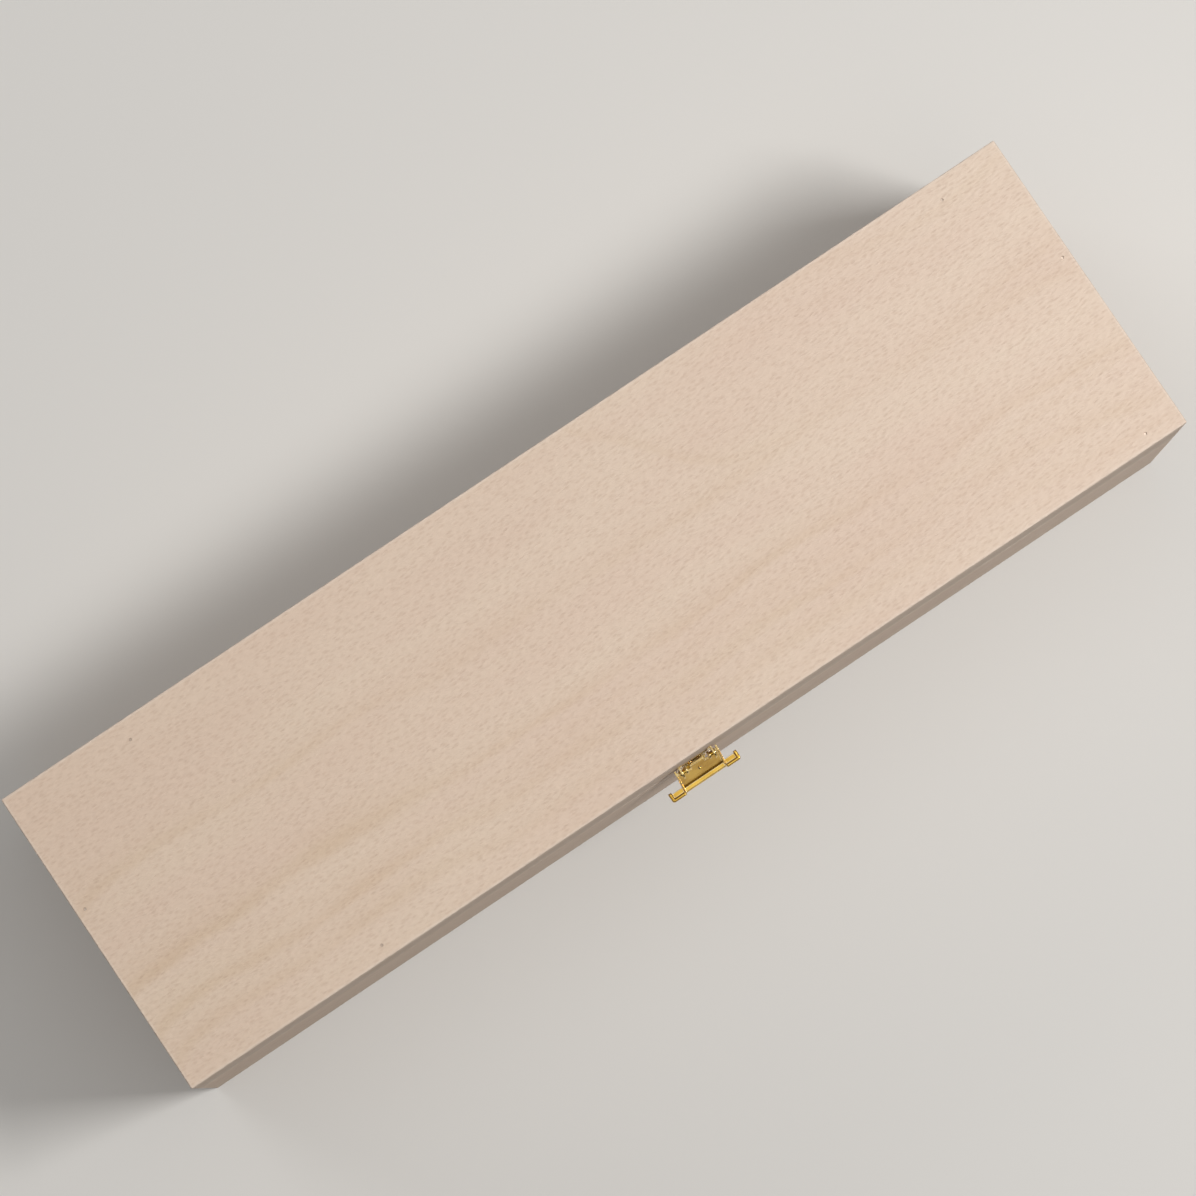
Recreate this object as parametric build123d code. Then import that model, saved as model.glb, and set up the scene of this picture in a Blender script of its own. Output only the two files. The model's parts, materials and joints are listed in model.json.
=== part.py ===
from build123d import *
import math
import os

# Wine box for one bottle: a beech base, a hinged beech lid, two butt hinges at the back
# and a swinging hasp at the front.
# Millimetres. +X runs along the box to the right, -Y is the front, +Z is up.
# The origin is the middle of the bottom face.

# Outer size of the closed box
box_length = 350.0
box_width = 101.0
box_height = 95.0
base_height = 63.0
seam_gap = 0.3

# Boards
wall_thickness = 8.0
end_thickness = 8.0
top_thickness = 5.0
bottom_thickness = 4.0
rabbet_depth = 4.0
edge_ease = 0.5
panel_edge_ease = 0.45
rim_ease = 0.3
joint_ease = 0.15

# Bottle rests, cut for a bottle that lies along the box
bottle_radius = 38.0
neck_radius = 15.0
rest_clearance = 0.8
bottle_lift = 5.0
rest_thickness = 9.0
body_rest_rise = 26.0
body_rest_from_end = 105.0
neck_rest_from_end = 70.0
rest_ease = 0.6

# Brads, with their heads set below the wood
brad_radius = 0.35
brad_head_radius = 0.45
brad_head_height = 0.5
brad_bite = 12.0
brad_tip_length = 0.8
brad_tip_radius = 0.1
brad_set = 0.4
brad_clearance = 0.03

# Brads through the top panel, from its left and right ends, its back and its front,
# and the share of the lid rail's height that they go into
top_back_left = 41.0
top_back_right = 22.7
top_back_inset = 6.3
top_front_left = 68.8
top_front_right = 12.2
top_front_inset = 4.0
top_end_from_back = 40.2
top_end_inset = 2.9
top_brad_rail_share = 0.45

# Brads under the bottom panel and at the corners
bottom_brad_from_end = 35.0
bottom_brads_per_side = 3
base_corner_brad_spacing = 32.0

# Butt hinges
hinge_from_end = 65.0
hinge_length = 26.0
leaf_height = 10.0
leaf_thickness = 0.8
leaf_corner_radius = 0.8
knuckle_radius = 1.6
knuckle_share = 0.4
knuckle_gap = 0.3
hinge_stand_off = 0.25
hinge_pin_radius = 0.75
hinge_fit = 0.05
pin_head_radius = 1.2
pin_head_height = 0.5
pin_head_round = 0.35

# Countersunk slotted screws
screw_head_radius = 1.5
screw_head_depth = 0.6
screw_radius = 0.8
screw_length = 6.5
screw_tip_length = 1.2
screw_tip_radius = 0.16
screw_slot_width = 0.4
screw_slot_depth = 0.3
screw_slot_turn = 37.0
lid_screw_slot_start = 20.0
screw_spacing = 16.0
screw_drop = 6.0
screw_clearance = 0.03

# Latch, with places given from the middle of the front, the front face and the rim of the base
latch_offset = 1.0
latch_sheet = 0.55
latch_plate_thickness = 0.4
latch_plate_radius = 0.8
latch_plate_bevel = 0.25
latch_ear_spacing = 10.8
latch_ear_radius = 1.9
latch_pin_out = 2.0
latch_pin_rise = 7.0
latch_pin_radius = 0.75
latch_fit = 0.05
latch_pin_head_radius = 1.1
latch_pin_head_height = 0.4
latch_pin_head_round = 0.28
latch_plate_lift = 1.2
latch_plate_height = 3.6
latch_strap_width = 1.4

# Hasp
hasp_inner_width = 14.0
hasp_rim = 1.2
hasp_top_out = 1.4
hasp_top_below_pin = 1.4
hasp_cheek_over_pin = 0.4
hasp_foot_out = 5.7
hasp_lip_height = 1.0
hasp_wing_reach = 7.7
hasp_wing_depth = 3.1
hasp_wing_span = 24.4
hasp_wing_radius = 0.8
hasp_wing_step = 0.5
hasp_wing_lip_height = 1.2
hasp_wing_lip_thickness = 1.1
hasp_wing_lip_round = 0.45
hasp_tongue_width = 4.8
hasp_notch_width = 1.4
hasp_notch_depth = 1.9
hasp_lug_radius = 1.25
hasp_slot_clearance = 0.45
hasp_bump_radius = 0.55
hasp_bump_share = 0.4
hasp_edge_round = 0.25

# Keeper on the base, and the catch of the hasp that goes under its nose
keeper_drop = 1.4
keeper_height = 11.0
nose_drop = 2.6
nose_thickness = 1.6
nose_reach = 3.8
nose_width = 6.6
catch_width = 6.0
catch_clearance = 0.2
catch_overlap = 0.9

# Round-headed pins of the latch plate and the keeper
tack_head_radius = 1.0
tack_head_height = 0.35
tack_head_round = 0.28
tack_radius = 0.5
tack_length = 6.5
tack_tip_length = 1.0
tack_tip_radius = 0.125
plate_tack_spacing = 3.4
plate_tack_rise = 1.8
keeper_tack_spacing = 6.4
keeper_tack_drop = 7.6

# Levels and faces worked out from the sizes above
lid_bottom = base_height + seam_gap
lid_top_board = box_height - top_thickness
half_length = box_length / 2
half_width = box_width / 2
inner_half_length = half_length - end_thickness
inner_half_width = half_width - wall_thickness
end_board_width = box_width - 2 * (wall_thickness - rabbet_depth)
bottle_axis = bottom_thickness + bottle_lift + bottle_radius
base_corner_middle = (bottom_thickness + base_height) / 2
lid_corner_middle = (lid_bottom + lid_top_board) / 2
corner_brad_length = wall_thickness - rabbet_depth + brad_bite
top_brad_length = top_thickness + top_brad_rail_share * (lid_top_board - lid_bottom)
bottom_brad_length = bottom_thickness + brad_bite
hinge_axis_y = half_width + hinge_stand_off + knuckle_radius
hinge_axis_z = base_height + seam_gap / 2
hinge_middles = (-half_length + hinge_from_end, half_length - hinge_from_end)
latch_pin_z = base_height + latch_pin_rise
ear_inner = latch_ear_spacing / 2
ear_outer = ear_inner + latch_sheet
hasp_top = latch_pin_z - hasp_top_below_pin
hasp_half_inner = hasp_inner_width / 2
hasp_half_outer = hasp_half_inner + latch_sheet
tongue_edge = hasp_tongue_width / 2
lug_inner = tongue_edge + hasp_notch_width
lug_outer = lug_inner + latch_sheet
nose_top = base_height - nose_drop
nose_bottom = nose_top - nose_thickness
foot_top = nose_bottom - catch_clearance
foot_bottom = foot_top - latch_sheet
hasp_slope = (hasp_foot_out - hasp_top_out) / (hasp_top - (foot_top + foot_bottom) / 2)
hasp_half_sheet = latch_sheet / 2 * math.sqrt(1 + hasp_slope**2)

os.makedirs("parts", exist_ok=True)
bottom_first = (Align.CENTER, Align.CENTER, Align.MIN)
sides = (-1, 1)
same_place = 0.001
cut_margin = 1.0


def block(x_from, x_to, y_from, y_to, z_from, z_to):
    size = Box(abs(x_to - x_from), abs(y_to - y_from), abs(z_to - z_from))
    return Pos((x_from + x_to) / 2, (y_from + y_to) / 2, (z_from + z_to) / 2) * size


def rod(radius, length):
    return Cylinder(radius, length, align=bottom_first)


# Shank of a fastener that ends in a blunt point
def pointed_rod(radius, length, tip_radius, tip_length):
    tip = Cone(radius, tip_radius, tip_length, align=bottom_first)
    return rod(radius, length - tip_length) + Pos(0, 0, length - tip_length) * tip


# Place of a fastener: a point on the outer face, with its own +Z along the shank
def driven(point, direction):
    return Location(Plane(origin=point, z_dir=direction))


def drilled(shape, places, hole):
    for place in places:
        shape -= place * hole
    return shape


# Edges that lie in one plane square to an axis
def edges_at(shape, axis, value):
    return shape.edges().filter_by_position(axis, value - same_place, value + same_place)


def save(name, solids):
    shape = Compound(solids) if isinstance(solids, list) else solids
    shape.label = name
    export_step(shape, f"parts/{name}.step")


# Brad with its head at the start of the shank, and the hole it is set into
def brad(length):
    head = rod(brad_head_radius, brad_head_height)
    return Pos(0, 0, brad_set) * (head + pointed_rod(brad_radius, length, brad_tip_radius, brad_tip_length))


def brad_hole(length):
    head = rod(brad_head_radius + brad_clearance, brad_set + brad_head_height + brad_clearance)
    return head + rod(brad_radius + brad_clearance, brad_set + length + brad_clearance)


# Countersunk screw with its head level with the start, and the hole it needs
def screw(turn):
    head = Cone(screw_head_radius, screw_radius, screw_head_depth, align=bottom_first)
    shank = pointed_rod(screw_radius, screw_length, screw_tip_radius, screw_tip_length)
    slot = Box(2 * (screw_head_radius + cut_margin), screw_slot_width, 2 * screw_slot_depth)
    return head + shank - Rot(0, 0, turn) * slot


def screw_hole():
    hole_radius = screw_radius + screw_clearance
    head = Cone(screw_head_radius + screw_clearance, hole_radius, screw_head_depth, align=bottom_first)
    return head + rod(hole_radius, screw_length + screw_clearance)


# Round-headed pin, driven from the face that its head sits on
def tack():
    head = Pos(0, 0, -tack_head_height) * rod(tack_head_radius, tack_head_height)
    head = fillet(edges_at(head, Axis.Z, -tack_head_height), tack_head_round)
    return head + pointed_rod(tack_radius, tack_length, tack_tip_radius, tack_tip_length)


def tack_hole():
    return rod(tack_radius + brad_clearance, tack_length + brad_clearance)


# Places of the fasteners
def top_brad_places():
    back_y = half_width - top_back_inset
    front_y = -half_width + top_front_inset
    end_y = half_width - top_end_from_back
    points = [
        (-half_length + top_back_left, back_y),
        (half_length - top_back_right, back_y),
        (-half_length + top_front_left, front_y),
        (half_length - top_front_right, front_y),
        (-half_length + top_end_inset, end_y),
        (half_length - top_end_inset, end_y),
    ]
    return [driven((x, y, box_height), (0, 0, -1)) for x, y in points]


def bottom_brad_places():
    side_y = half_width - wall_thickness / 2
    first_x = -half_length + bottom_brad_from_end
    pitch = -2 * first_x / (bottom_brads_per_side - 1)
    points = []
    for side in sides:
        points += [(first_x + i * pitch, side * side_y) for i in range(bottom_brads_per_side)]
        points.append((side * (half_length - end_thickness / 2), 0))
    return [driven((x, y, 0), (0, 0, 1)) for x, y in points]


def corner_brad_places(heights):
    end_x = half_length - end_thickness / 2
    return [
        driven((end * end_x, side * half_width, z), (0, -side, 0))
        for side in sides
        for end in sides
        for z in heights
    ]


def screw_places(side):
    y = half_width + leaf_thickness
    z = hinge_axis_z + side * screw_drop
    return [
        driven((middle + k * screw_spacing / 2, y, z), (0, -1, 0))
        for middle in hinge_middles
        for k in sides
    ]


def tack_places(z, spacing):
    y = -half_width - latch_plate_thickness
    return [driven((latch_offset + k * spacing / 2, y, z), (0, 1, 0)) for k in sides]


top_places = top_brad_places()
bottom_places = bottom_brad_places()
base_corner_heights = [base_corner_middle + k * base_corner_brad_spacing / 2 for k in sides]
base_corner_places = corner_brad_places(base_corner_heights)
lid_corner_places = corner_brad_places([lid_corner_middle])
base_screw_places = screw_places(-1)
lid_screw_places = screw_places(1)
plate_tack_places = tack_places(base_height + latch_plate_lift + plate_tack_rise, plate_tack_spacing)
keeper_tack_places = tack_places(base_height - keeper_drop - keeper_tack_drop, keeper_tack_spacing)


# Long board of the base or the lid, with a rabbet at each end for the end board.
# Its rim faces the seam of the lid, and its joint edge is glued to a panel.
def long_board(side, rim_z, joint_z):
    outer = side * half_width
    inner = side * inner_half_width
    shoulder = inner + side * rabbet_depth
    board = block(-half_length, half_length, inner, outer, rim_z, joint_z)
    for end in sides:
        board -= block(
            end * inner_half_length,
            end * (half_length + cut_margin),
            inner - side * cut_margin,
            shoulder,
            min(rim_z, joint_z) - cut_margin,
            max(rim_z, joint_z) + cut_margin,
        )
    board = fillet(edges_at(board, Axis.Y, outer).filter_by(Axis.Z), edge_ease)
    board = chamfer(edges_at(edges_at(board, Axis.Y, outer), Axis.Z, rim_z), rim_ease)
    board = chamfer(edges_at(edges_at(board, Axis.Y, outer), Axis.Z, joint_z), joint_ease)
    for end in sides:
        laps = edges_at(board, Axis.Y, shoulder).filter_by(Axis.Z)
        board = chamfer(edges_at(laps, Axis.X, end * half_length), joint_ease)
    return board


# Short board that sits in the rabbets
def end_board(end, rim_z, joint_z):
    outer = end * half_length
    half_board = end_board_width / 2
    board = block(end * inner_half_length, outer, -half_board, half_board, rim_z, joint_z)
    board = chamfer(edges_at(edges_at(board, Axis.X, outer), Axis.Z, rim_z), rim_ease)
    outer_edges = edges_at(board, Axis.X, outer)
    joints = outer_edges.filter_by(Axis.Z) + edges_at(outer_edges, Axis.Z, joint_z)
    return chamfer(joints, joint_ease)


# Panel over the whole outline, with its outer edges and corners eased
def panel(joint_z, outer_z):
    board = block(-half_length, half_length, -half_width, half_width, joint_z, outer_z)
    board = fillet(board.edges().filter_by(Axis.Z), edge_ease)
    board = fillet(edges_at(board, Axis.Z, outer_z), panel_edge_ease)
    return chamfer(edges_at(board, Axis.Z, joint_z), joint_ease)


# Board across the base with a round notch for the bottle, its upper edges eased
def bottle_rest(middle_x, top_z, notch_radius):
    half = rest_thickness / 2
    board = block(
        middle_x - half, middle_x + half, -inner_half_width, inner_half_width, bottom_thickness, top_z
    )
    notch = Cylinder(notch_radius, rest_thickness + 2 * cut_margin)
    board -= Pos(middle_x, 0, bottle_axis) * Rot(0, 90, 0) * notch
    top_edges = edges_at(board, Axis.Z, top_z).filter_by(Axis.Y)
    return chamfer(top_edges + board.edges().filter_by(GeomType.CIRCLE), rest_ease)


def make_base():
    bottom_hole = brad_hole(bottom_brad_length)
    corner_hole = brad_hole(corner_brad_length)
    save("bottom_panel", drilled(panel(bottom_thickness, 0), bottom_places, bottom_hole))

    front = long_board(-1, base_height, bottom_thickness)
    front = drilled(front, bottom_places, bottom_hole)
    front = drilled(front, base_corner_places, corner_hole)
    save("front_wall", drilled(front, keeper_tack_places, tack_hole()))

    back = long_board(1, base_height, bottom_thickness)
    back = drilled(back, bottom_places, bottom_hole)
    back = drilled(back, base_corner_places, corner_hole)
    save("back_wall", drilled(back, base_screw_places, screw_hole()))

    for end, name in zip(sides, ("left_end_wall", "right_end_wall")):
        board = end_board(end, base_height, bottom_thickness)
        board = drilled(board, bottom_places, bottom_hole)
        save(name, drilled(board, base_corner_places, corner_hole))

    body_x = -half_length + body_rest_from_end
    neck_x = half_length - neck_rest_from_end
    body_top = bottom_thickness + body_rest_rise
    save("body_rest", bottle_rest(body_x, body_top, bottle_radius + rest_clearance))
    save("neck_rest", bottle_rest(neck_x, bottle_axis, neck_radius + rest_clearance))
    save("base_corner_brads", [place * brad(corner_brad_length) for place in base_corner_places])
    save("bottom_brads", [place * brad(bottom_brad_length) for place in bottom_places])


def make_lid():
    top_hole = brad_hole(top_brad_length)
    corner_hole = brad_hole(corner_brad_length)
    save("top_panel", drilled(panel(lid_top_board, box_height), top_places, top_hole))

    front = long_board(-1, lid_bottom, lid_top_board)
    front = drilled(front, top_places, top_hole)
    front = drilled(front, lid_corner_places, corner_hole)
    save("lid_front_rail", drilled(front, plate_tack_places, tack_hole()))

    back = long_board(1, lid_bottom, lid_top_board)
    back = drilled(back, top_places, top_hole)
    back = drilled(back, lid_corner_places, corner_hole)
    save("lid_back_rail", drilled(back, lid_screw_places, screw_hole()))

    for end, name in zip(sides, ("lid_left_rail", "lid_right_rail")):
        board = end_board(end, lid_bottom, lid_top_board)
        board = drilled(board, top_places, top_hole)
        save(name, drilled(board, lid_corner_places, corner_hole))

    save("lid_corner_brads", [place * brad(corner_brad_length) for place in lid_corner_places])
    save("top_brads", [place * brad(top_brad_length) for place in top_places])


# Round bar along the axis of the hinges
def hinge_bar(radius, x_from, x_to):
    bar = Rot(0, 90, 0) * Cylinder(radius, abs(x_to - x_from))
    return Pos((x_from + x_to) / 2, hinge_axis_y, hinge_axis_z) * bar


# One leaf of a hinge: a plate against the wood, and knuckles on necks that reach the axis
def hinge_leaf(middle_x, side, spans, places):
    near = hinge_axis_z + side * (knuckle_radius + knuckle_gap)
    far = hinge_axis_z + side * leaf_height
    half = hinge_length / 2
    outer_face = half_width + leaf_thickness
    leaf = block(middle_x - half, middle_x + half, half_width, outer_face, near, far)
    leaf = fillet(edges_at(leaf.edges().filter_by(Axis.Y), Axis.Z, far), leaf_corner_radius)
    for start, end in spans:
        leaf += block(middle_x + start, middle_x + end, half_width, outer_face, near, hinge_axis_z)
        leaf += hinge_bar(knuckle_radius, middle_x + start, middle_x + end)
    leaf -= hinge_bar(hinge_pin_radius + hinge_fit, middle_x - hinge_length, middle_x + hinge_length)
    return drilled(leaf, places, screw_hole())


def hinge_pin(middle_x):
    half = hinge_length / 2 + hinge_fit
    pin = hinge_bar(hinge_pin_radius, middle_x - half, middle_x + half)
    for end in sides:
        tip_x = middle_x + end * (half + pin_head_height)
        head = hinge_bar(pin_head_radius, middle_x + end * half, tip_x)
        pin += fillet(edges_at(head, Axis.X, tip_x), pin_head_round)
    return pin


# Screws at these places, each with its slot turned on from the last
def turned_screws(places, start):
    return [place * screw(start + i * screw_slot_turn) for i, place in enumerate(places)]


def make_hinges():
    half = hinge_length / 2
    middle_half = hinge_length * knuckle_share / 2
    lid_spans = [(-middle_half, middle_half)]
    base_spans = [(-half, -middle_half - knuckle_gap), (middle_half + knuckle_gap, half)]
    for middle_x, name in zip(hinge_middles, ("left", "right")):
        save(f"{name}_hinge_base_leaf", hinge_leaf(middle_x, -1, base_spans, base_screw_places))
        save(f"{name}_hinge_lid_leaf", hinge_leaf(middle_x, 1, lid_spans, lid_screw_places))
        save(f"{name}_hinge_pin", hinge_pin(middle_x))
    save("hinge_base_screws", turned_screws(base_screw_places, 0))
    save("hinge_lid_screws", turned_screws(lid_screw_places, lid_screw_slot_start))


# Latch pieces are placed from the latch's middle, by their distance out from the front face
def latch_block(x_from, x_to, out_from, out_to, z_from, z_to):
    return block(
        latch_offset + x_from, latch_offset + x_to, -half_width - out_from, -half_width - out_to, z_from, z_to
    )


# Solid between two planes across the box, from an outline of (distance out, height) points
def latch_prism(outline, x_from, x_to):
    points = [(-half_width - out, z) for out, z in outline]
    face = make_face(Plane.YZ * Polyline(*points, close=True))
    return Pos(latch_offset + min(x_from, x_to), 0, 0) * extrude(face, abs(x_to - x_from), dir=(1, 0, 0))


# Round bar along the latch pin
def latch_bar(radius, x_from, x_to):
    bar = Rot(0, 90, 0) * Cylinder(radius, abs(x_to - x_from))
    return Pos(latch_offset + (x_from + x_to) / 2, -half_width - latch_pin_out, latch_pin_z) * bar


# Distance of the hasp's sheet from the front face at a height
def hasp_inside(z):
    return hasp_top_out + (hasp_top - z) * hasp_slope - hasp_half_sheet


def hasp_outside(z):
    return hasp_top_out + (hasp_top - z) * hasp_slope + hasp_half_sheet


# Plate with a bevelled top edge, and at its sides two straps that carry the ears
def make_latch_plate():
    low = base_height + latch_plate_lift
    high = low + latch_plate_height
    ear_low = latch_pin_z - latch_ear_radius
    ear_high = latch_pin_z + latch_ear_radius
    plate = latch_block(-ear_outer, ear_outer, 0, latch_plate_thickness, low, high)
    plate = fillet(edges_at(plate.edges().filter_by(Axis.Y), Axis.Z, low), latch_plate_radius)
    front_edges = edges_at(plate, Axis.Y, -half_width - latch_plate_thickness)
    plate = chamfer(edges_at(front_edges, Axis.Z, high), latch_plate_bevel)
    for side in sides:
        strap_inner = side * (ear_outer - latch_strap_width)
        strap_low = high - latch_plate_bevel - cut_margin
        plate += latch_block(strap_inner, side * ear_outer, 0, latch_plate_thickness, strap_low, ear_high)
        plate += latch_block(side * ear_inner, side * ear_outer, 0, latch_pin_out, ear_low, ear_high)
        plate += latch_bar(latch_ear_radius, side * ear_inner, side * ear_outer)
    plate -= latch_bar(latch_pin_radius + latch_fit, -2 * ear_outer, 2 * ear_outer)
    save("latch_plate", drilled(plate, plate_tack_places, tack_hole()))


# Short pins, each through an ear of the plate and the lug of the hasp beside it
def make_latch_pins():
    pins = []
    for side in sides:
        shoulder = side * (ear_outer + latch_fit)
        tip = shoulder + side * latch_pin_head_height
        head = latch_bar(latch_pin_head_radius, shoulder, tip)
        head = fillet(edges_at(head, Axis.X, latch_offset + tip), latch_pin_head_round)
        pins.append(head + latch_bar(latch_pin_radius, side * lug_inner, shoulder))
    save("latch_pins", pins)


# Raised cheek along one side of the hasp, with its outer edges rounded
def hasp_cheek(x_from, x_to):
    cheek_top = latch_pin_z + hasp_cheek_over_pin
    cheek = latch_prism(
        [
            (hasp_inside(cheek_top), cheek_top),
            (hasp_outside(cheek_top) + hasp_rim, cheek_top),
            (hasp_outside(foot_bottom) + hasp_rim, foot_bottom),
            (hasp_inside(foot_bottom), foot_bottom),
        ],
        x_from,
        x_to,
    )
    sloping = cheek.edges().filter_by(Axis.X, reverse=True).filter_by(Axis.Y, reverse=True)
    return fillet(sloping.sort_by(Axis.Y)[:2], hasp_edge_round)


# Lip across the hasp's foot, from cheek to cheek, with its outer edges rounded
def hasp_lip():
    lip_top = foot_bottom + hasp_lip_height
    reach = hasp_half_inner + latch_sheet / 2
    lip = latch_prism(
        [
            (hasp_inside(lip_top), lip_top),
            (hasp_outside(lip_top) + hasp_rim, lip_top),
            (hasp_outside(foot_bottom) + hasp_rim, foot_bottom),
            (hasp_inside(foot_bottom), foot_bottom),
        ],
        -reach,
        reach,
    )
    return fillet(lip.edges().filter_by(Axis.X).sort_by(Axis.Y)[:2], hasp_edge_round)


# Wing beside a cheek, with a rounded lip along its outer edge and its end.
# Between the cheek and that end its inner edge steps back from the box.
def hasp_wing(side):
    root = side * (hasp_half_inner + latch_sheet / 2)
    end = side * hasp_wing_span / 2
    trough_end = end - side * hasp_wing_lip_thickness
    trough_out = hasp_wing_reach - hasp_wing_lip_thickness
    inside = hasp_wing_reach - hasp_wing_depth
    lip_top = foot_top + hasp_wing_lip_height
    cut_root = root - side * cut_margin
    cut_in = inside - cut_margin
    cut_low = foot_bottom - cut_margin
    cut_high = lip_top + cut_margin
    wing = latch_block(root, end, inside, hasp_wing_reach, foot_bottom, lip_top)
    front_corners = edges_at(wing.edges().filter_by(Axis.Z), Axis.Y, -half_width - hasp_wing_reach)
    wing = fillet(edges_at(front_corners, Axis.X, latch_offset + end), hasp_wing_radius)
    wing = fillet(edges_at(wing, Axis.Z, foot_bottom), hasp_edge_round)
    wing -= latch_block(cut_root, trough_end, cut_in, trough_out, foot_top, cut_high)
    wing = fillet(edges_at(wing, Axis.Z, lip_top), hasp_wing_lip_round)
    return wing - latch_block(cut_root, trough_end, cut_in, inside + hasp_wing_step, cut_low, cut_high)


# Lug round the pin, on a web that rises from the sheet
def hasp_lug(x_from, x_to):
    web_bottom = hasp_top - hasp_notch_depth
    web = latch_prism(
        [
            (latch_pin_out - hasp_lug_radius, latch_pin_z),
            (latch_pin_out + hasp_lug_radius, latch_pin_z),
            (hasp_outside(web_bottom), web_bottom),
            (hasp_inside(web_bottom), web_bottom),
        ],
        x_from,
        x_to,
    )
    return web + latch_bar(hasp_lug_radius, x_from, x_to)


def make_hasp():
    hasp = latch_prism(
        [
            (hasp_inside(hasp_top), hasp_top),
            (hasp_outside(hasp_top), hasp_top),
            (hasp_outside(foot_bottom), foot_bottom),
            (hasp_inside(foot_bottom), foot_bottom),
        ],
        -hasp_half_outer,
        hasp_half_outer,
    )
    # Slots for the ears of the plate, and notches that the lugs were bent up from
    slot_inner = ear_inner - hasp_slot_clearance
    slot_outer = ear_outer + hasp_slot_clearance
    slot_bottom = latch_pin_z - latch_ear_radius - hasp_slot_clearance
    notch_bottom = hasp_top - hasp_notch_depth
    cut_top = hasp_top + cut_margin
    for side in sides:
        hasp -= latch_block(side * slot_inner, side * slot_outer, 0, hasp_foot_out, slot_bottom, cut_top)
        hasp -= latch_block(side * tongue_edge, side * lug_inner, 0, hasp_foot_out, notch_bottom, cut_top)
        hasp += hasp_cheek(side * hasp_half_inner, side * hasp_half_outer)
        hasp += hasp_wing(side)
        hasp += hasp_lug(side * lug_inner, side * lug_outer)
    hasp += hasp_lip()
    hasp -= latch_bar(latch_pin_radius + latch_fit, -lug_outer, lug_outer)
    # Catch that goes under the keeper's nose
    catch_inside = nose_reach - catch_overlap
    half_catch = catch_width / 2
    hasp += latch_block(-half_catch, half_catch, catch_inside, hasp_foot_out, foot_bottom, foot_top)
    # Small bump pressed in the sheet below the tongue
    bump_z = hasp_top - hasp_bump_share * (hasp_top - foot_top)
    bump = Pos(latch_offset, -half_width - hasp_outside(bump_z), bump_z) * Sphere(hasp_bump_radius)
    save("latch_hasp", hasp + bump)


def make_keeper():
    high = base_height - keeper_drop
    plate = latch_block(-ear_outer, ear_outer, 0, latch_plate_thickness, high - keeper_height, high)
    plate = fillet(plate.edges().filter_by(Axis.Y), latch_plate_radius)
    nose = latch_block(-nose_width / 2, nose_width / 2, 0, nose_reach, nose_bottom, nose_top)
    outer_edges = edges_at(nose, Axis.Y, -half_width - nose_reach)
    nose = fillet(edges_at(outer_edges, Axis.Z, nose_top), nose_thickness / 2)
    save("latch_keeper", drilled(plate + nose, keeper_tack_places, tack_hole()))


def make_latch():
    make_latch_plate()
    make_latch_pins()
    make_hasp()
    make_keeper()
    save("latch_plate_tacks", [place * tack() for place in plate_tack_places])
    save("keeper_tacks", [place * tack() for place in keeper_tack_places])


make_base()
make_lid()
make_hinges()
make_latch()
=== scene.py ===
import json
import math

import bmesh
import bpy
from mathutils import Euler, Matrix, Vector


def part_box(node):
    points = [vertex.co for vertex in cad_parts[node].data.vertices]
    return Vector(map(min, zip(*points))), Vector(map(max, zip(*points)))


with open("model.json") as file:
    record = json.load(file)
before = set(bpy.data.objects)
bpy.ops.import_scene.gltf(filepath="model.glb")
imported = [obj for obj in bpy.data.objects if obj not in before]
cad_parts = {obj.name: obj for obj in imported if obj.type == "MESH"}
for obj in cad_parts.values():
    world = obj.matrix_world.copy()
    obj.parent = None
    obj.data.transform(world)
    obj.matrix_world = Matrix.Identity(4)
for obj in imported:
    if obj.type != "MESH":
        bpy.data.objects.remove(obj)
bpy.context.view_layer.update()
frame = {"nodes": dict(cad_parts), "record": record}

millimetres = 1000.0                # patterns are sized in millimetres, the scene is in metres
asColour = {"data_type": "RGBA"}    # for a Mix node that mixes colours
print("frame loaded,", len(frame["nodes"]), "nodes")


# sRGB hex to the linear colour that the shaders take
def colour(hexCode):
    linear = []
    for i in (1, 3, 5):
        part = int(hexCode[i:i + 2], 16) / 255
        linear.append(part / 12.92 if part <= 0.04045 else ((part + 0.055) / 1.055) ** 2.4)
    return (*linear, 1.0)


# Adds a node with its own settings, the values of its sockets and what feeds them.
# A socket goes by its name or its number, and a node that feeds one gives its first output in use.
def addNode(tree, kind, own=None, values=None, links=None):
    node = tree.nodes.new(kind)
    for key, value in (own or {}).items():
        setattr(node, key, value)
    for key, value in [*(values or {}).items(), *(links or {}).items()]:
        named = [socket for socket in node.inputs if socket.name == key and socket.enabled]
        socket = node.inputs[key] if isinstance(key, int) else named[0]
        if key in (links or {}):
            source = value
            if isinstance(value, bpy.types.Node):
                source = [output for output in value.outputs if output.enabled][0]
            tree.links.new(source, socket)
        else:
            socket.default_value = value
    return node


# Sets a colour ramp's stops, as pairs of place and grey
def setStops(ramp, stops):
    ramp.interpolation = "EASE"
    while len(ramp.elements) < len(stops):
        ramp.elements.new(0.5)
    for element, (spot, grey) in zip(ramp.elements, stops):
        element.position = spot
        element.color = (grey, grey, grey, 1)


def newMaterial(name):
    material = bpy.data.materials.new(name)
    material.use_nodes = True
    tree = material.node_tree
    return material, tree, tree.nodes["Principled BSDF"]


def dress(nodeName, material):
    slots = frame["nodes"][nodeName].data.materials
    slots.clear()
    slots.append(material)


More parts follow.
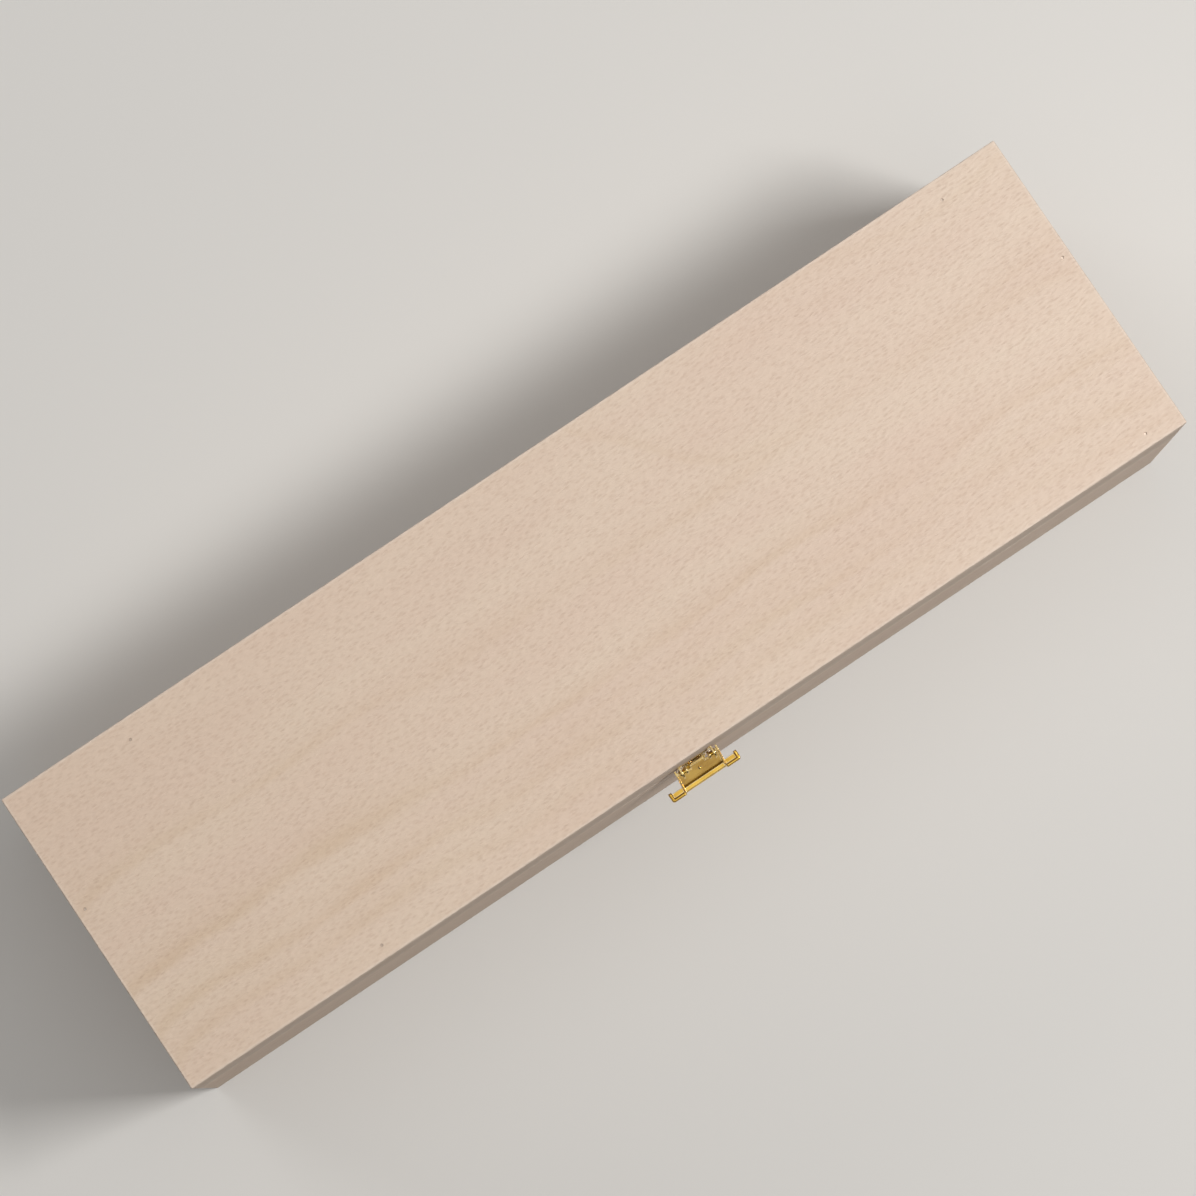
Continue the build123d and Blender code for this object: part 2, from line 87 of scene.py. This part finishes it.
# Beech, sanded and left bare. Steamed beech is pinkish cream, with soft growth rings that open into
# slow waves on a flat-sawn face, and everywhere the short dark dashes of its rays.
beech = {
    "cream": "#DEC9B5",
    "pink": "#DBC3B0",
    "ringTan": "#BF9F74",
    "rayFleck": "#A9866D",
    "endGrain": "#B99678",
    "paled": "#E8D9C9",
    "ringWidth": 3.4,          # mm between growth rings
    "ringTone": 0.25,          # how strong the strongest ring is
    "wander": (95.0, 26.0),    # mm along and across the grain, how slowly a ring wanders
    "wanderHeight": 5.0,
    "meander": (60.0, 22.0),   # how the marked rings meander
    "meanderHeight": 13.0,
    "markedSoft": 9.0,         # mm, a marked ring's soft side, towards the back
    "markedSharp": 3.5,        # mm, its sharp side, towards the front
    "band": (90.0, 17.0),      # soft pink and cream bands
    "warmEndAndShade": 0.06,           # how much warmer and darker a board is at one end, partly its own tone and partly painted shade
    "streak": (9.0, 0.7),      # pore lines, drawn coarser than real pores so that they show
    "pores": (0.985, 1.01),    # how much they darken and lighten
    "fleck": (2.7, 0.95),      # spacing of the rays
    "fleckEdge": (0.55, 0.1),  # where a ray starts and where it is full, in spacings from its middle
    "fleckTone": 0.16,
    "endTone": 0.6,
    "endDepth": (0.3, 0.05),   # mm from a board's end where end grain starts and is full
    "edgeWearAndHighlight": 1.0,           # mm that handling has paled along the edges
    "raised": (2.6, 0.8),      # grain raised by damp after sanding
    "raisedHeight": 0.00006,   # m
    "pit": 0.00003,            # m, depth of the rays and pores
    "roughness": (0.47, 0.65),
    "specular": 0.35,
}


# Tan lines that follow a wave along the board, each at its distance in mm from the board's back edge
def markedRings(tree, grain, meander, half, groups):
    place = addNode(tree, "ShaderNodeSeparateXYZ", links={"Vector": grain}).outputs
    span = {"From Min": -half.x, "From Max": half.x}
    along = addNode(tree, "ShaderNodeMapRange", None, span, {"Value": place["X"]})
    fromBack = addNode(tree, "ShaderNodeMath", {"operation": "SUBTRACT"}, {0: half.y}, {1: place["Y"]})
    drift = addNode(tree, "ShaderNodeTexNoise", None, {"Scale": 1.0, "Detail": 2.5}, {"Vector": meander})
    swing = beech["meanderHeight"] / 2
    drift = addNode(tree, "ShaderNodeMapRange", None, {"To Min": -swing, "To Max": swing}, {"Value": drift})
    fromBack = addNode(tree, "ShaderNodeMath", {"operation": "ADD"}, None, {0: fromBack, 1: drift})
    # the rings are strongest at the left end
    leftward = addNode(tree, "ShaderNodeMapRange", None, {"To Min": 1.0, "To Max": 0.5}, {"Value": along})
    lines = None
    for group in groups:
        heights = [height for _, height in group["wave"]]
        low, high = min(heights), max(heights)
        wave = addNode(tree, "ShaderNodeFloatCurve", links={"Value": along})
        points = wave.mapping.curves[0].points
        spots = [(mm / (2 * half.x), (height - low) / (high - low)) for mm, height in group["wave"]]
        points[0].location = spots[0]
        points[1].location = spots[-1]
        for spot in spots[1:-1]:
            points.new(*spot)
        wave.mapping.update()
        wave = addNode(tree, "ShaderNodeMapRange", None, {"To Min": low, "To Max": high}, {"Value": wave})
        level = addNode(tree, "ShaderNodeMath", {"operation": "SUBTRACT"}, None, {0: fromBack, 1: wave})
        for distance, strength in group["rings"]:
            span = {"From Min": distance - beech["markedSoft"], "From Max": distance + beech["markedSharp"]}
            line = addNode(tree, "ShaderNodeMapRange", None, span, {"Value": level})
            shade = addNode(tree, "ShaderNodeValToRGB", links={"Fac": line})
            setStops(shade.color_ramp, ((0.0, 0.0), (0.45, 0.35), (0.72, 1.0), (1.0, 0.0)))
            # each ring fades and comes back along the board
            own = {"noise_dimensions": "1D"}
            fade = addNode(tree, "ShaderNodeTexNoise", own, {"Scale": 7.0, "Detail": 1.0}, {"W": along})
            span = {"From Min": 0.25, "From Max": 0.7, "To Min": 0.2 * strength, "To Max": strength}
            fade = addNode(tree, "ShaderNodeMapRange", None, span, {"Value": fade})
            fade = addNode(tree, "ShaderNodeMath", {"operation": "MULTIPLY"}, None, {0: fade, 1: leftward})
            line = addNode(tree, "ShaderNodeMath", {"operation": "MULTIPLY"}, None, {0: shade, 1: fade})
            if lines:
                line = addNode(tree, "ShaderNodeMath", {"operation": "MAXIMUM"}, None, {0: lines, 1: line})
            lines = line
    return lines


# One board's own piece of the tree. Turn is 0 for grain along X and 90 for grain along Y, heart is where the
# tree's middle lies from the board's middle (across, up) in mm, lean is how far off it the board was cut in
# degrees, and tone makes the board darker or lighter. A board may have beech values of its own.
def beechBoard(board):
    timber = {**beech, **board}
    low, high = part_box(timber["node"])
    middle = (low + high) / 2 * millimetres
    half = (high - low) / 2 * millimetres
    halfLength = half.y if timber["turn"] else half.x
    material, tree, surface = newMaterial("beech_" + timber["node"])
    place = addNode(tree, "ShaderNodeTexCoord").outputs["Object"]

    # millimetres from the board's middle, then with the grain along X, then in the board's own wood
    values = {"Location": -middle, "Scale": [millimetres] * 3}
    local = addNode(tree, "ShaderNodeMapping", None, values, {"Vector": place})
    values = {"Angle": math.radians(-timber["turn"])}
    grain = addNode(tree, "ShaderNodeVectorRotate", {"rotation_type": "Z_AXIS"}, values, {"Vector": local})
    shift = (timber["shift"], timber["shift"] * 0.37, 0)
    inWood = addNode(tree, "ShaderNodeVectorMath", {"operation": "ADD"}, {1: shift}, {0: grain})
    at = {}
    for pattern in ("wander", "meander", "band", "streak", "fleck", "raised"):
        length, width = timber[pattern]
        size = (length, width, width)
        at[pattern] = addNode(tree, "ShaderNodeVectorMath", {"operation": "DIVIDE"}, {1: size}, {0: inWood})

    # growth rings round the heart, wandering slowly
    values = {"Scale": 1.0, "Detail": 1.5}
    wander = addNode(tree, "ShaderNodeTexNoise", None, values, {"Vector": at["wander"]}).outputs["Color"]
    swing = (0, 2 * timber["wanderHeight"], 2 * timber["wanderHeight"])
    own = {"operation": "MULTIPLY_ADD"}
    trunk = addNode(tree, "ShaderNodeVectorMath", own, {1: swing}, {0: wander, 2: grain})
    lean = (0, math.radians(timber["lean"][1]), math.radians(timber["lean"][0]))
    own = {"rotation_type": "EULER_XYZ"}
    trunk = addNode(tree, "ShaderNodeVectorRotate", own, {"Rotation": lean}, {"Vector": trunk})
    heart = (0, *timber["heart"])
    trunk = addNode(tree, "ShaderNodeVectorMath", {"operation": "SUBTRACT"}, {1: heart}, {0: trunk})
    trunk = addNode(tree, "ShaderNodeVectorMath", {"operation": "MULTIPLY"}, {1: (0, 1, 1)}, {0: trunk})
    radius = addNode(tree, "ShaderNodeVectorMath", {"operation": "LENGTH"}, None, {0: trunk})
    rings = addNode(tree, "ShaderNodeMath", {"operation": "DIVIDE"}, {1: timber["ringWidth"]}, {0: radius})
    ringPart = addNode(tree, "ShaderNodeMath", {"operation": "FRACT"}, None, {0: rings})
    lateWood = addNode(tree, "ShaderNodeValToRGB", links={"Fac": ringPart})
    setStops(lateWood.color_ramp, ((0.2, 0.0), (0.85, 1.0), (1.0, 0.0)))
    # some rings are strong, most are faint
    ringNumber = addNode(tree, "ShaderNodeMath", {"operation": "FLOOR"}, None, {0: rings})
    own = {"noise_dimensions": "1D"}
    force = addNode(tree, "ShaderNodeTexWhiteNoise", own, None, {"W": ringNumber}).outputs["Value"]
    span = {"From Min": 0.2, "To Max": timber["ringTone"]}
    force = addNode(tree, "ShaderNodeMapRange", None, span, {"Value": force})
    ringTone = addNode(tree, "ShaderNodeMath", {"operation": "MULTIPLY"}, None, {0: force, 1: lateWood})
    if "markedRings" in timber:
        marked = markedRings(tree, grain, at["meander"], half, timber["markedRings"])
        ringTone = addNode(tree, "ShaderNodeMath", {"operation": "MAXIMUM"}, None, {0: ringTone, 1: marked})

    # pink and cream bands, then the rings over them
    values = {"Scale": 1.0, "Detail": 2.0, "Roughness": 0.6}
    band = addNode(tree, "ShaderNodeTexNoise", None, values, {"Vector": at["band"]})
    band = addNode(tree, "ShaderNodeMapRange", None, {"From Min": 0.3, "From Max": 0.7}, {"Value": band})
    values = {"A": colour(timber["cream"]), "B": colour(timber["pink"])}
    tone = addNode(tree, "ShaderNodeMix", asColour, values, {"Factor": band})
    tan = {"B": colour(timber["ringTan"])}
    tone = addNode(tree, "ShaderNodeMix", asColour, tan, {"Factor": ringTone, "A": tone})

    # the whole board is a little warmer and darker towards one end; on the boards along the box that is the
    # left end, away from the lamp, where the tan is partly painted shade
    inGrain = addNode(tree, "ShaderNodeSeparateXYZ", links={"Vector": grain}).outputs
    span = {"From Min": -halfLength, "From Max": halfLength, "To Min": timber["warmEndAndShade"], "To Max": 0.0}
    warmthAndShade = addNode(tree, "ShaderNodeMapRange", None, span, {"Value": inGrain["X"]})
    tone = addNode(tree, "ShaderNodeMix", asColour, tan, {"Factor": warmthAndShade, "A": tone})

    # fine pore lines along the grain
    values = {"Scale": 1.0, "Detail": 3.0, "Roughness": 0.65}
    streak = addNode(tree, "ShaderNodeTexNoise", None, values, {"Vector": at["streak"]})
    darkest, palest = [timber["tone"] * part for part in timber["pores"]]
    span = {"From Min": 0.3, "From Max": 0.7, "To Min": darkest, "To Max": palest}
    pores = addNode(tree, "ShaderNodeMapRange", None, span, {"Value": streak})
    own = {"data_type": "RGBA", "blend_type": "MULTIPLY"}
    tone = addNode(tree, "ShaderNodeMix", own, {"Factor": 1.0}, {"A": tone, "B": pores})

    # rays, cut across into short dashes
    ray = addNode(tree, "ShaderNodeTexVoronoi", None, {"Scale": 1.0}, {"Vector": at["fleck"]})
    own = {"interpolation_type": "SMOOTHSTEP"}
    starts, full = timber["fleckEdge"]
    fleck = addNode(tree, "ShaderNodeMapRange", own, {"From Min": starts, "From Max": full}, {"Value": ray})
    values = {1: timber["fleckTone"]}
    fleckTone = addNode(tree, "ShaderNodeMath", {"operation": "MULTIPLY"}, values, {0: fleck})
    values = {"B": colour(timber["rayFleck"])}
    tone = addNode(tree, "ShaderNodeMix", asColour, values, {"Factor": fleckTone, "A": tone})

    # end grain at the board's two ends
    fromMiddle = addNode(tree, "ShaderNodeMath", {"operation": "ABSOLUTE"}, None, {0: inGrain["X"]})
    starts, full = [halfLength - depth for depth in timber["endDepth"]]
    span = {"From Min": starts, "From Max": full, "To Max": timber["endTone"]}
    atEnd = addNode(tree, "ShaderNodeMapRange", None, span, {"Value": fromMiddle})
    values = {"B": colour(timber["endGrain"])}
    tone = addNode(tree, "ShaderNodeMix", asColour, values, {"Factor": atEnd, "A": tone})

    # edges paled by handling: near an edge the two smallest distances to the board's faces are small
    apart = addNode(tree, "ShaderNodeVectorMath", {"operation": "ABSOLUTE"}, None, {0: local})
    inside = addNode(tree, "ShaderNodeVectorMath", {"operation": "SUBTRACT"}, {0: half}, {1: apart})
    depth = addNode(tree, "ShaderNodeSeparateXYZ", links={"Vector": inside}).outputs
    total = addNode(tree, "ShaderNodeVectorMath", {"operation": "DOT_PRODUCT"}, {1: (1, 1, 1)}, {0: inside})
    most = addNode(tree, "ShaderNodeMath", {"operation": "MAXIMUM"}, None, {0: depth["X"], 1: depth["Y"]})
    most = addNode(tree, "ShaderNodeMath", {"operation": "MAXIMUM"}, None, {0: most, 1: depth["Z"]})
    toEdge = addNode(tree, "ShaderNodeMath", {"operation": "SUBTRACT"}, None, {0: total, 1: most})
    span = {"From Min": timber["edgeWearAndHighlight"], "From Max": 0.1}
    wearAndHighlight = addNode(tree, "ShaderNodeMapRange", None, span, {"Value": toEdge})
    wearAndHighlight = addNode(tree, "ShaderNodeMath", {"operation": "MULTIPLY"}, None, {0: wearAndHighlight, 1: streak})
    values = {"B": colour(timber["paled"])}
    tone = addNode(tree, "ShaderNodeMix", asColour, values, {"Factor": wearAndHighlight, "A": tone})
    tree.links.new(tone.outputs[2], surface.inputs["Base Color"])

    # gloss, raised grain, and the hollows of rays and pores
    smoothest, roughest = timber["roughness"]
    span = {"To Min": smoothest, "To Max": roughest}
    rough = addNode(tree, "ShaderNodeMapRange", None, span, {"Value": streak})
    tree.links.new(rough.outputs["Result"], surface.inputs["Roughness"])
    values = {"Scale": 1.0, "Detail": 1.0}
    raised = addNode(tree, "ShaderNodeTexNoise", None, values, {"Vector": at["raised"]})
    # a flat board's edges were planed last, so the grain stands less there
    span = {"From Min": 0.2, "From Max": 0.8, "To Min": 1.0, "To Max": 0.25}
    onFace = addNode(tree, "ShaderNodeMapRange", None, span, {"Value": depth["Z"]})
    values = {"Distance": timber["raisedHeight"]}
    bump = addNode(tree, "ShaderNodeBump", None, values, {"Height": raised, "Strength": onFace})
    own = {"operation": "MULTIPLY_ADD"}
    hollow = addNode(tree, "ShaderNodeMath", own, {1: -0.8}, {0: fleck, 2: streak})
    values = {"Distance": timber["pit"]}
    bump = addNode(tree, "ShaderNodeBump", None, values, {"Height": hollow, "Normal": bump})
    tree.links.new(bump.outputs["Normal"], surface.inputs["Normal"])
    surface.inputs["Specular IOR Level"].default_value = timber["specular"]
    dress(timber["node"], material)


# Lid. The top panel is a flat-sawn board with faint rings, and a few marked ones along its front.
topPanel = {
    "node": "top_panel", "turn": 0, "heart": (22, -70), "lean": (1.2, -0.8), "shift": 40, "tone": 1.0,
    # on this board the warmer, darker left end is partly painted shade
    "ringTone": 0.09, "fleckTone": 0.18, "warmEndAndShade": 0.12, "raisedHeight": 0.0003,
    # each wave's points are mm along and mm towards the front, each ring is mm from the back and its strength
    "markedRings": (
        {
            "wave": ((0, 3), (45, -2.5), (85, -2.5), (140, 1.5), (290, 1.5), (330, 4), (350, 7)),
            "rings": ((39, 0.2), (67, 0.32), (81.5, 0.28), (90, 0.2)),
        },
        {
            "wave": ((0, -12), (180, -12), (200, 6), (215, 20), (226, 31), (240, 37), (265, 39.5), (350, 35)),
            "rings": ((0, 0.2),),
        },
    ),
}
lidFront = {
    "node": "lid_front_rail", "turn": 0, "heart": (60, 18), "lean": (0.6, 0.8), "shift": 310, "tone": 0.91,
}
lidBack = {
    "node": "lid_back_rail", "turn": 0, "heart": (-52, -30), "lean": (-0.8, 0.5), "shift": 620, "tone": 0.97,
}
lidLeft = {
    "node": "lid_left_rail", "turn": 90, "heart": (-70, 20), "lean": (1.0, -0.8), "shift": 890, "tone": 0.98,
}
lidRight = {
    "node": "lid_right_rail", "turn": 90, "heart": (58, -34), "lean": (-1.2, 0.9), "shift": 1150, "tone": 1.0,
}
for board in (topPanel, lidFront, lidBack, lidLeft, lidRight):
    beechBoard(board)
print("lid boards dressed")

# Base
bottomPanel = {
    "node": "bottom_panel", "turn": 0, "heart": (-80, 48), "lean": (1.0, 1.2), "shift": 1480, "tone": 0.98,
}
frontWall = {
    "node": "front_wall", "turn": 0, "heart": (75, 46), "lean": (1.2, -0.6), "shift": 1760, "tone": 1.05,
    # on this board the warmer, darker left end is partly painted shade
    "warmEndAndShade": 0.1,
}
backWall = {
    "node": "back_wall", "turn": 0, "heart": (-66, -42), "lean": (-0.9, 1.1), "shift": 2010, "tone": 0.98,
}
leftEnd = {
    "node": "left_end_wall", "turn": 90, "heart": (-80, -50), "lean": (1.5, 1.0), "shift": 2330, "tone": 1.0,
}
rightEnd = {
    "node": "right_end_wall", "turn": 90, "heart": (72, 44), "lean": (-1.3, -1.0), "shift": 2590,
    "tone": 0.97,
}
bodyRest = {
    "node": "body_rest", "turn": 90, "heart": (64, 22), "lean": (0.9, 0.7), "shift": 2870, "tone": 1.02,
}
neckRest = {
    "node": "neck_rest", "turn": 90, "heart": (-60, -36), "lean": (-0.7, 1.3), "shift": 3110, "tone": 0.99,
}
for board in (bottomPanel, frontWall, backWall, leftEnd, rightEnd, bodyRest, neckRest):
    beechBoard(board)
print("base boards dressed")


# Brass-plated sheet steel, pressed and barrel polished: warm gold, soft clouds of tarnish, fine scratches,
# and a painted highlight paled into the colour along its edges
brass = {
    "gold": "#E3BA55",
    "deep": "#B98B2F",
    # bright cream of the painted highlight along the edges
    "wearAndHighlight": "#F7E6B4",
    "cloud": 5.0,               # mm, size of the tarnish clouds
    "tarnish": (0.42, 0.75),    # level of the clouds where tarnish starts and is full
    "edgeWearAndHighlight": 0.0006,         # m in from an edge where the colour is paled into a painted highlight
    "highlightTone": 0.95,
    "scratch": (2.2, 0.12),     # mm long and wide
    "scratchDepth": 0.000005,   # m
    "scratchStrength": 0.3,
    "edgeRound": 0.0002,        # m, softness of the pressed edges
    "roughness": (0.12, 0.3),
}


def brassSheet():
    material, tree, surface = newMaterial("brass_plated_sheet")
    place = addNode(tree, "ShaderNodeTexCoord").outputs["Object"]
    place = addNode(tree, "ShaderNodeMapping", None, {"Scale": [millimetres] * 3}, {"Vector": place})
    values = {"Scale": 1 / brass["cloud"], "Detail": 3.0}
    cloud = addNode(tree, "ShaderNodeTexNoise", None, values, {"Vector": place})
    starts, full = brass["tarnish"]
    span = {"From Min": starts, "From Max": full}
    tarnish = addNode(tree, "ShaderNodeMapRange", None, span, {"Value": cloud})
    values = {"A": colour(brass["gold"]), "B": colour(brass["deep"])}
    tone = addNode(tree, "ShaderNodeMix", asColour, values, {"Factor": tarnish})

    # painted highlight: near an edge the rounded normal leans away from the face's own, and there the colour
    # is paled towards bright cream
    face = addNode(tree, "ShaderNodeNewGeometry").outputs["Normal"]
    rounded = addNode(tree, "ShaderNodeBevel", {"samples": 8}, {"Radius": brass["edgeWearAndHighlight"]})
    lean = addNode(tree, "ShaderNodeVectorMath", {"operation": "DOT_PRODUCT"}, None, {0: rounded, 1: face})
    span = {"From Min": 0.995, "From Max": 0.9, "To Max": brass["highlightTone"]}
    wearAndHighlight = addNode(tree, "ShaderNodeMapRange", None, span, {"Value": lean})
    values = {"B": colour(brass["wearAndHighlight"])}
    tone = addNode(tree, "ShaderNodeMix", asColour, values, {"Factor": wearAndHighlight, "A": tone})
    tree.links.new(tone.outputs[2], surface.inputs["Base Color"])

    # scratches run level
    length, width = brass["scratch"]
    size = (length, length, width)
    lines = addNode(tree, "ShaderNodeVectorMath", {"operation": "DIVIDE"}, {1: size}, {0: place})
    scratch = addNode(tree, "ShaderNodeTexNoise", None, {"Scale": 1.0, "Detail": 2.0}, {"Vector": lines})
    smoothest, roughest = brass["roughness"]
    span = {"To Min": smoothest, "To Max": roughest}
    rough = addNode(tree, "ShaderNodeMapRange", None, span, {"Value": scratch})
    tree.links.new(rough.outputs["Result"], surface.inputs["Roughness"])
    edge = addNode(tree, "ShaderNodeBevel", {"samples": 6}, {"Radius": brass["edgeRound"]})
    values = {"Strength": brass["scratchStrength"], "Distance": brass["scratchDepth"]}
    bump = addNode(tree, "ShaderNodeBump", None, values, {"Height": scratch, "Normal": edge})
    tree.links.new(bump.outputs["Normal"], surface.inputs["Normal"])
    surface.inputs["Metallic"].default_value = 1.0
    return material


# Bright drawn steel wire, dulled by the wood round it: grey with brown specks
steel = {
    "grey": "#D3C6B8",
    "brown": "#A58D7B",
    "speck": 0.5,    # mm
    "roughness": (0.35, 0.6),
}


def steelWire():
    material, tree, surface = newMaterial("drawn_steel_wire")
    place = addNode(tree, "ShaderNodeTexCoord").outputs["Object"]
    place = addNode(tree, "ShaderNodeMapping", None, {"Scale": [millimetres] * 3}, {"Vector": place})
    values = {"Scale": 1 / steel["speck"], "Detail": 2.0}
    speck = addNode(tree, "ShaderNodeTexNoise", None, values, {"Vector": place})
    values = {"A": colour(steel["grey"]), "B": colour(steel["brown"])}
    tone = addNode(tree, "ShaderNodeMix", asColour, values, {"Factor": speck})
    tree.links.new(tone.outputs[2], surface.inputs["Base Color"])
    smoothest, roughest = steel["roughness"]
    span = {"To Min": smoothest, "To Max": roughest}
    rough = addNode(tree, "ShaderNodeMapRange", None, span, {"Value": speck})
    tree.links.new(rough.outputs["Result"], surface.inputs["Roughness"])
    surface.inputs["Metallic"].default_value = 1.0
    return material


metals = {"brass": brassSheet(), "steel": steelWire()}
for part in frame["record"]["subparts"]:
    if part["material_slot"] in metals:
        dress(part["node"], metals[part["material_slot"]])
print("hinges, latch and brads dressed")


# Floor, a pale painted board. It looks pale, but throws less light back at the box than such a floor would.
floor = {
    "size": 6.0,
    "paint": "#D9D6D1",
    "bounce": "#A5A29E",
    "roughness": 0.85,
    "specular": 0.2,
}


def paleFloor():
    mesh = bpy.data.meshes.new("floor")
    bm = bmesh.new()
    bmesh.ops.create_grid(bm, x_segments=1, y_segments=1, size=floor["size"] / 2)
    bm.to_mesh(mesh)
    bm.free()
    plane = bpy.data.objects.new("floor", mesh)
    bpy.context.scene.collection.objects.link(plane)
    material, tree, surface = newMaterial("matt_floor_paint")
    rays = addNode(tree, "ShaderNodeLightPath").outputs
    links = {0: rays["Is Camera Ray"], 1: rays["Is Glossy Ray"]}
    seen = addNode(tree, "ShaderNodeMath", {"operation": "MAXIMUM"}, None, links)
    links = {0: seen, 1: rays["Is Transmission Ray"]}
    seen = addNode(tree, "ShaderNodeMath", {"operation": "MAXIMUM"}, None, links)
    values = {"A": colour(floor["bounce"]), "B": colour(floor["paint"])}
    tone = addNode(tree, "ShaderNodeMix", asColour, values, {"Factor": seen})
    tree.links.new(tone.outputs[2], surface.inputs["Base Color"])
    surface.inputs["Roughness"].default_value = floor["roughness"]
    surface.inputs["Specular IOR Level"].default_value = floor["specular"]
    mesh.materials.append(material)


paleFloor()

# Soft light: a lamp high on the right, a broad weak one low behind, and a sky that is bright overhead
studio = {
    "lamps": (
        {"name": "right_lamp", "place": (0.66, -0.34, 1.15), "size": 0.34, "power": 10.9},
        {"name": "back_fill", "place": (-0.5, 1.3, 0.6), "size": 0.8, "power": 4.4},
    ),
    "overhead": "#FFFFFF",
    "sides": "#585859",
    "skyLevel": 1.1,
    "overheadFrom": 0.75,    # height of the direction, 1 straight up, where the bright part starts
    "overheadFull": 0.95,    # and where it is full
}


def studioLight():
    for setting in studio["lamps"]:
        data = bpy.data.lights.new(setting["name"], "AREA")
        data.energy = setting["power"]
        data.size = setting["size"]
        lamp = bpy.data.objects.new(setting["name"], data)
        bpy.context.scene.collection.objects.link(lamp)
        lamp.location = setting["place"]
        lamp.rotation_euler = (-Vector(setting["place"])).to_track_quat("-Z", "Y").to_euler()
    world = bpy.data.worlds.new("studio_sky")
    bpy.context.scene.world = world
    world.use_nodes = True
    tree = world.node_tree
    sky = tree.nodes["Background"]
    direction = addNode(tree, "ShaderNodeTexCoord").outputs["Generated"]
    height = addNode(tree, "ShaderNodeSeparateXYZ", links={"Vector": direction}).outputs["Z"]
    own = {"interpolation_type": "SMOOTHSTEP"}
    span = {"From Min": studio["overheadFrom"], "From Max": studio["overheadFull"]}
    rise = addNode(tree, "ShaderNodeMapRange", own, span, {"Value": height})
    values = {"A": colour(studio["sides"]), "B": colour(studio["overhead"])}
    tone = addNode(tree, "ShaderNodeMix", asColour, values, {"Factor": rise})
    tree.links.new(tone.outputs[2], sky.inputs["Color"])
    sky.inputs["Strength"].default_value = studio["skyLevel"]


studioLight()

# Camera of the photograph, placed from the middle of the box's bottom
photoCamera = {
    "place": (-0.0747, -0.1137, 1.5321),
    "turn": (5.55, 0.03, -33.83),    # degrees about X, Y and Z
    "focalPixels": 4936.0,           # focal length in pixels of an image 1196 wide
    "imagePixels": 1196.0,
    "sensor": 36.0,                  # mm
}


def photoView():
    data = bpy.data.cameras.new("photo_camera")
    data.sensor_width = photoCamera["sensor"]
    data.lens = photoCamera["focalPixels"] / photoCamera["imagePixels"] * photoCamera["sensor"]
    data.clip_end = 20.0
    camera = bpy.data.objects.new("photo_camera", data)
    bpy.context.scene.collection.objects.link(camera)
    camera.location = photoCamera["place"]
    camera.rotation_euler = Euler([math.radians(angle) for angle in photoCamera["turn"]])
    bpy.context.scene.camera = camera


photoView()
bpy.context.scene.view_settings.view_transform = "Standard"
print("floor, light and camera set")
